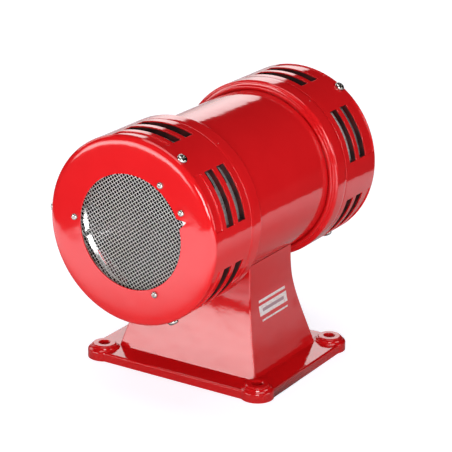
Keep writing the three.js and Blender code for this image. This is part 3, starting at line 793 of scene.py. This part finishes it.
def impeller_nut(side, side_name):
    """A hexagon nut with chamfered corners on the end of the shaft."""
    nut = begin("hex_nut_" + side_name, bpy.ops.mesh.primitive_cylinder_add, vertices=6,
                radius=9.8 * MM, depth=8 * MM, location=(side * 109.5 * MM, 0, AXIS_Z),
                rotation=(0, math.pi / 2, 0))
    close()
    outline = ((6.4, 105.3), (9.1, 105.5), (9.9, 106.2), (9.9, 112.6), (9.1, 113.4), (6.4, 113.7))
    chamfer = turned("chamfer", [(radius, side * x) for radius, x in outline], steps=48)
    cap()
    carve(nut, chamfer, "INTERSECT")
    bore = turned("bore", [(5.2, side * 100), (5.2, side * 120)], steps=32)
    cap()
    carve(nut, bore)
    soften(nut, 0.25, 2, 30)
    hand_over(nut, "rotor", "zinc_steel", blackened, "impeller_nut_" + side_name)


# ---------------------------------------------------------------- screws


def pan_screw(name, radius, height, shank, length):
    """A cross-recessed pan head screw along +Z, with the underside of its head at z = 0."""
    dome = [(radius, 0), (radius, 0.3 * height), (0.93 * radius, 0.62 * height),
            (0.78 * radius, 0.85 * height), (0.5 * radius, 0.97 * height), (0.2 * radius, height)]
    screw = post(name, 0, 0, [(shank, -length), (shank, 0), *dome], 24)
    blades = []
    for turn in (0, math.pi / 2):
        blade = begin("blade", bpy.ops.mesh.primitive_cube_add, size=1,
                      scale=(1.15 * radius * MM, 0.26 * radius * MM, height * MM),
                      location=(0, 0, height * MM), rotation=(0, 0, turn))
        pick("FACE", lambda _, normal: normal.z < -0.9)
        bpy.ops.transform.resize(value=(0.55, 0.55, 1), center_override=(0, 0, 0))
        close()
        blades.append(blade)
    carve(blades[0], blades[1], "UNION")
    carve(screw, blades[0])
    soften(screw, 0.05 * radius, 1, 40)
    return screw


def radial(angle, radius, x):
    """Stands a piece modelled along +Z at an angle round the rotor axis."""
    return (Matrix.Translation((x * MM, 0, AXIS_Z)) @ Matrix.Rotation(math.radians(angle), 4, "X")
            @ Matrix.Translation((0, 0, radius * MM)))


def screws():
    """The cover screws round each head, and the four small screws on each face."""
    large = pan_screw("cover_screw", 4.25, 2.6, 2, 5.2)
    small = pan_screw("face_screw", 2.75, 1.9, 1.5, 6.2)
    for side, side_name in SIDES:
        for i, angle in enumerate(SCREW_ANGLES, 1):
            twin = copy_of(large, f"pan_screw_cover_{side_name}_{i}")
            spin = Matrix.Rotation(math.radians(angle * 1.7 + 20 * side), 4, "Z")
            place(twin, radial(angle, HEAD_RADIUS / MM + GAP, head_x(side, 8.5)) @ spin)
            hand_over(twin, "housing", "nickel_screw", nickel, f"cover_screw_{side_name}_{i}")
        for i, (angle, radius) in enumerate(FACE_SCREWS, 1):
            twin = copy_of(small, f"pan_screw_face_{side_name}_{i}")
            outward = Matrix.Rotation(side * math.pi / 2, 4, "Y")
            spin = outward @ Matrix.Rotation(angle * 0.9, 4, "Z")
            place(twin, radial(angle, radius, head_x(side, -GAP)) @ spin)
            hand_over(twin, "housing", "nickel_screw", nickel, f"face_screw_{side_name}_{i}")
    for spare in (large, small):
        bpy.data.objects.remove(spare)


# ---------------------------------------------------------------- brush springs


def brush_spring(sign, place_name):
    """A coil spring behind a carbon brush. The real spring shortens as the brush is pushed back;
    this one keeps its length.
    """
    low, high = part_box("brush_spring_" + place_name)
    x, z = (low.x + high.x) / 2, (low.z + high.z) / 2
    near = low.y if sign > 0 else high.y
    length = high.y - low.y - 0.7 * MM
    spring = begin("coil_spring_" + place_name, bpy.ops.mesh.primitive_circle_add, vertices=8,
                   radius=0.34 * MM, location=(2.2 * MM, 0, 0))
    close(outward=False)
    modify(spring, "SCREW", axis="Y", angle=math.radians(5 * 360), screw_offset=length, steps=100,
           render_steps=100, use_merge_vertices=False)
    bpy.ops.object.mode_set(mode="EDIT")
    bpy.ops.mesh.select_all(action="SELECT")
    bpy.ops.mesh.fill_holes(sides=8)
    close()
    turn = Matrix.Rotation(math.pi, 4, "Z") if sign < 0 else Matrix.Identity(4)
    place(spring, Matrix.Translation((x, near + sign * 0.35 * MM, z)) @ turn)
    alone(spring)
    bpy.ops.object.shade_smooth()
    hand_over(spring, "housing", "spring_steel", spring_wire, "brush_spring_" + place_name)
    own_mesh(spring)


# ---------------------------------------------------------------- pedestal


def column(name, bottom, top, inset):
    """The flared column, or its hollow with an inset, splayed course by course to the base."""
    half_x, half_y = COLUMN_HALF[0] - inset, COLUMN_HALF[1] - inset
    body = begin(name, bpy.ops.mesh.primitive_cube_add, size=2,
                 location=(0, 0, (bottom + top) / 2 * MM),
                 scale=(half_x * MM, half_y * MM, (top - bottom) / 2 * MM))
    courses = range(bottom + 4, top, 4)
    for z in courses:
        bpy.ops.mesh.select_all(action="SELECT")
        bpy.ops.mesh.bisect(plane_co=(0, 0, z * MM), plane_no=(0, 0, 1))
    for z in [bottom, *courses, top]:
        pick("VERT", lambda at, _: abs(at.z / MM - z) < 0.1)
        splay = flare_at(z)
        bpy.ops.transform.resize(value=(1 + splay / half_x, 1 + splay / half_y, 1),
                                 center_override=(0, 0, 0))
    return body


def base_plate():
    """The plate with rounded corners and a rounded top edge."""
    half_x, half_y = BASE_HALF
    plate = begin("plate", bpy.ops.mesh.primitive_cube_add, size=2,
                  location=(0, 0, BASE_HEIGHT / 2 * MM),
                  scale=(half_x, half_y, BASE_HEIGHT / 2 * MM))
    pick("EDGE", lambda _, along: abs(along.z) > 0.9)
    bpy.ops.mesh.bevel(offset=13 * MM, segments=10, affect="EDGES")
    pick("EDGE", lambda at, along: at.z > (BASE_HEIGHT - 0.1) * MM and abs(along.z) < 0.1)
    bpy.ops.mesh.bevel(offset=1.6 * MM, segments=4, affect="EDGES")
    close()
    return plate


def pedestal():
    """Plate, bosses and column cast in one, with the saddle, the hollow and the holes cut out."""
    body = column("pedestal_shell", 0, COLUMN_TOP, 0)
    pick("EDGE", lambda _, along: abs(along.z) > 0.9)
    bpy.ops.mesh.bevel(offset=1.2 * MM, segments=3, affect="EDGES")
    close()
    carve(body, base_plate(), "UNION")
    boss = [(14, 0.0), (14, 6.6), (13.6, 7.6), (12.9, 8.3), (11.9, 8.7), (11.5, 9.1),
            (11.3, 9.9), (10.9, 10.4), (10.1, 10.6), (9.8, 10.9), (9.7, 11.5), (9.3, 11.9),
            (8.7, 12.0)]
    corners = [(sx * BOLT[0], sy * BOLT[1]) for sx in (1, -1) for sy in (1, -1)]
    for x, y in corners:
        carve(body, post("boss", x, y, boss), "UNION")
    carve(body, cylinder_tool("seat", 11, (0, 58, GLAND_Z), (0, 66, GLAND_Z)), "UNION")
    saddle = TUBE_RADIUS / MM + 0.3
    axis = AXIS_Z / MM
    hollow = column("hollow", -2, COLUMN_TOP, COLUMN_WALL)
    close()
    carve(hollow, cylinder_tool("crown", saddle + 5, (-90, 0, axis), (90, 0, axis), 144))
    carve(body, hollow)
    carve(body, cylinder_tool("saddle", saddle, (-90, 0, axis), (90, 0, axis), 144))
    for x, y in corners:
        hole = [(4.4, -2), (4.4, 11.2), (5.4, 12.2), (5.4, 14)]
        carve(body, post("hole", x, y, hole, 32))
    carve(body, cylinder_tool("entry", 6.3, (0, 50, GLAND_Z), (0, 70, GLAND_Z), 32))
    for side, _ in SIDES:
        x = side * SADDLE_SCREW_X
        carve(body, cylinder_tool("screw_hole", 4.3, (x, 0, 60), (x, 0, 90), 24))
    alone(body)
    bpy.ops.object.shade_smooth_by_angle(angle=math.radians(32))
    modify(body, "WEIGHTED_NORMAL", keep_sharp=True)
    hand_over(body, "housing", "pedestal_paint", pedestal_paint, "pedestal_casting")
    return body


def printed(name, x0, x1, z0, z1, lift, face):
    """A thin printed patch that follows the flared face."""
    middle = ((x0 + x1) / 2 * MM, -80 * MM, (z0 + z1) / 2 * MM)
    patch = begin(name, bpy.ops.mesh.primitive_plane_add, size=MM, location=middle,
                  rotation=(math.pi / 2, 0, 0))
    bpy.ops.transform.resize(value=(x1 - x0, 1, z1 - z0), center_override=middle)
    bpy.ops.mesh.subdivide(number_cuts=8)
    close(outward=False)
    modify(patch, "SHRINKWRAP", target=face, wrap_method="PROJECT", use_project_y=True,
           use_positive_direction=True, use_negative_direction=False, offset=lift * MM)
    modify(patch, "SOLIDIFY", thickness=0.16 * MM, offset=-1)
    return patch


def label(face):
    """Plain printed bars on the flared face: a long one, a panel with a stripe, and a thin one."""
    patches = [printed(*shape, 0.1, face) for shape in (
        ("upper_bar", -22, 20, 63.4, 65.6), ("panel", -23, 21, 52.4, 61.0),
        ("lower_bar", -21, 20, 47.8, 49.2))]
    made = join(*patches)
    made.name = made.data.name = "label_print"
    hand_over(made, "housing", "label_print", ink, "rating_label")
    stripe = printed("label_stripe", -18, 16, 55.4, 58.0, 0.18, face)
    hand_over(stripe, "housing", "label_print", stripe_ink)


def gland():
    """The cable gland: a hexagon, a ribbed nose with a rounded end, and the bore through both."""
    body = begin("gland_body", bpy.ops.mesh.primitive_cylinder_add, vertices=6, radius=9.6 * MM,
                 depth=7.7 * MM, location=(0, 70.15 * MM, GLAND_Z * MM),
                 rotation=(math.pi / 2, 0, 0))
    close()
    nose = cylinder_tool("nose", 7.4, (0, 73, GLAND_Z), (0, 81, GLAND_Z))
    bpy.ops.object.mode_set(mode="EDIT")
    pick("EDGE", lambda at, along: at.y > 80.9 * MM and abs(along.y) < 0.1)
    bpy.ops.mesh.bevel(offset=1.6 * MM, segments=4, affect="EDGES")
    pick("FACE", lambda at, normal: abs(normal.y) < 0.1 and at.y < 79 * MM)
    bpy.ops.mesh.inset(thickness=0.22 * MM, use_individual=True)
    bpy.ops.mesh.extrude_region_shrink_fatten(TRANSFORM_OT_shrink_fatten={"value": -0.35 * MM})
    close()
    carve(body, nose, "UNION")
    carve(body, cylinder_tool("thread", 6, (0, 50, GLAND_Z), (0, 68, GLAND_Z), 32), "UNION")
    carve(body, cylinder_tool("passage", 3.6, (0, 45, GLAND_Z), (0, 85, GLAND_Z), 32))
    soften(body, 0.25, 2, 30)
    hand_over(body, "housing", "black_plastic", plastic, "cable_gland")


# ---------------------------------------------------------------- the rest of the frame's own parts

KEPT = {
    "shaft": blackened, "screen_retainer": blackened,
    "armature_core": stack, "field_core": stack,
    "armature_winding": armature_wire, "field_coil": field_wire, "commutator": commutator_copper,
    "bearing_outer_race": machined, "bearing_inner_race": machined, "bearing_cage": brass,
    "brush_holder": brass, "carbon_brush": carbon,
    "tie_bolt": zinc, "saddle_screw": zinc,
    "gland_locknut": plastic, "terminal_block": phenolic,
}


def dress_frame():
    """Gives every CAD node that still shows its own finish."""
    for name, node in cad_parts.items():
        if node.hide_render:
            continue
        finish = next(made for start, made in KEPT.items() if name.startswith(start))
        node.data.materials.clear()
        node.data.materials.append(finish)


# ---------------------------------------------------------------- stage, lights and camera


def floor():
    """A pale floor, even to the eye, whose reflection dims near the base and to the right."""
    bpy.ops.object.select_all(action="DESELECT")
    bpy.ops.mesh.primitive_plane_add(size=14, location=(0, 0, -0.0002))
    ground = bpy.context.object
    ground.name = "floor"
    paper = Finish("floor", Roughness=0.9, Specular_IOR_Level=0.1, Emission_Strength=2.0)
    x, y, _ = paper.spot()
    across = abs(x * -0.69 + y * 0.72)
    direct = Wire(paper, paper.add("ShaderNodeLightPath").outputs["Is Camera Ray"])
    sweep = 1 - paper.between(across, 0.495, 0.515) * (1 - direct)
    radius = (x * x + y * y) ** 0.5
    paper.feed("Base Color", paper.blend(sweep, grey(0.06), grey(0.50)))
    dimmed = 1 - paper.between(x, -0.25, 0.05) * 0.72
    reflected = sweep * paper.between(radius, 0.22, 0.45) * dimmed
    glow = direct * 0.40 + (1 - direct) * reflected
    paper.feed("Emission Color", paper.blend(glow, grey(0.0), (0.94, 0.94, 1.0, 1)))
    ground.data.materials.append(paper.material)


def aim(thing, location, target):
    """Points a light or sheet at a target and hides it from the camera itself."""
    thing.location = location
    thing.rotation_euler = (Vector(target) - Vector(location)).to_track_quat("-Z", "Y").to_euler()
    thing.visible_camera = False


def softbox(name, location, target, size, radiance):
    """An area light of a given size and radiance, aimed at a point and never seen itself."""
    data = bpy.data.lights.new(name, "AREA")
    data.shape = "RECTANGLE"
    data.size, data.size_y = size
    data.energy = math.pi * size[0] * size[1] * radiance
    lamp = bpy.data.objects.new(name, data)
    bpy.context.scene.collection.objects.link(lamp)
    aim(lamp, location, target)
    return lamp


def glowing_sheet(name, location, target, size, radiance, fade, lean=0.0):
    """A sheet whose glow fades out at its edges, and by lean towards its foot."""
    bpy.ops.object.select_all(action="DESELECT")
    bpy.ops.mesh.primitive_plane_add(size=1)
    sheet = bpy.context.object
    sheet.name = name
    bpy.ops.object.mode_set(mode="EDIT")
    bpy.ops.mesh.select_all(action="SELECT")
    bpy.ops.transform.resize(value=(size[0], size[1], 1), center_override=(0, 0, 0))
    bpy.ops.object.mode_set(mode="OBJECT")
    glow = Finish(name, Base_Color=grey(0.0), Roughness=1.0, Emission_Strength=radiance)
    x, y, _ = glow.spot()
    edges = []
    for along, half in ((x, size[0] / 2), (y, size[1] / 2)):
        edges.append(1 - glow.between(abs(along), half - fade, half))
    level = edges[0] * edges[1] * (1 - lean * glow.between(y, size[1] / 4, -size[1] / 2))
    glow.feed("Emission Color", glow.blend(level, grey(0.0), grey(1.0)))
    sheet.data.materials.append(glow.material)
    aim(sheet, location, target)


def lights():
    """Boxes and sheets round the object, a glint inside the near head, and a white background."""
    middle = (0, 0, 0.12)
    softbox("overhead", (0.0, 0.0, 2.2), middle, (1.6, 1.6), 2.3)
    softbox("key", (-1.85, -1.30, 0.75), middle, (0.9, 0.9), 12.5)
    softbox("front", (0.5, -2.3, 0.6), middle, (1.4, 1.0), 2.6)
    softbox("rear", (0.2, 2.2, 1.2), middle, (1.4, 1.2), 2.0)
    glowing_sheet("left_panel", (-1.72, 1.00, 0.20), (0, 0, 0.20), (2.0, 0.90), 6.5, 0.45)
    glowing_sheet("backdrop", (1.26, 1.05, 0.50), (0, 0, 0.40), (1.10, 1.00), 2.6, 0.06, 0.75)
    glint = softbox("glint", (-0.120, 0.031, 0.136), (-0.097, 0.0643, 0.1241), (0.008, 0.008),
                    130)
    glint.data.spread = math.radians(50)
    glint.visible_glossy = False
    world = bpy.data.worlds.new("studio")
    world.use_nodes = True
    tree = world.node_tree
    air = tree.nodes["Background"]
    air.inputs["Color"].default_value = grey(1)
    seen = tree.nodes.new("ShaderNodeLightPath").outputs["Is Camera Ray"]
    tree.links.new(seen, air.inputs["Strength"])
    bpy.context.scene.world = world


def camera():
    """A long lens from the front left, a little above the object."""
    right = Vector((0.52777, -0.84925, 0.01548))
    up = Vector((0.27835, 0.19015, 0.94147))
    back = Vector((-0.80248, -0.49257, 0.33674))
    data = bpy.data.cameras.new("camera")
    data.sensor_width = 36
    data.lens = 156.25
    data.clip_end = 50
    eye = bpy.data.objects.new("camera", data)
    bpy.context.scene.collection.objects.link(eye)
    turn = Matrix((right, up, back)).transposed().to_4x4()
    sideways, lowered, distance = 0.00503, 0.03169, 1.6268
    looked_at = Vector(AXIS) + right * sideways - up * lowered
    eye.matrix_world = Matrix.Translation(looked_at + back * distance) @ turn
    bpy.context.scene.camera = eye


# ---------------------------------------------------------------- assembly

camera()
for side, side_name in SIDES:
    head_cover(side, side_name)
    port_ring(side, side_name)
    end_bracket(side, side_name)
    mesh_screen(side, side_name)
    impeller(side, side_name)
    impeller_nut(side, side_name)
motor_tube()
screws()
brush_spring(-1, "front")
brush_spring(1, "rear")
casting_piece = pedestal()
label(casting_piece)
gland()
dress_frame()
floor()
lights()
bpy.context.scene.view_settings.view_transform = "Standard"

bpy.ops.object.select_all(action="DESELECT")
bpy.context.view_layer.update()
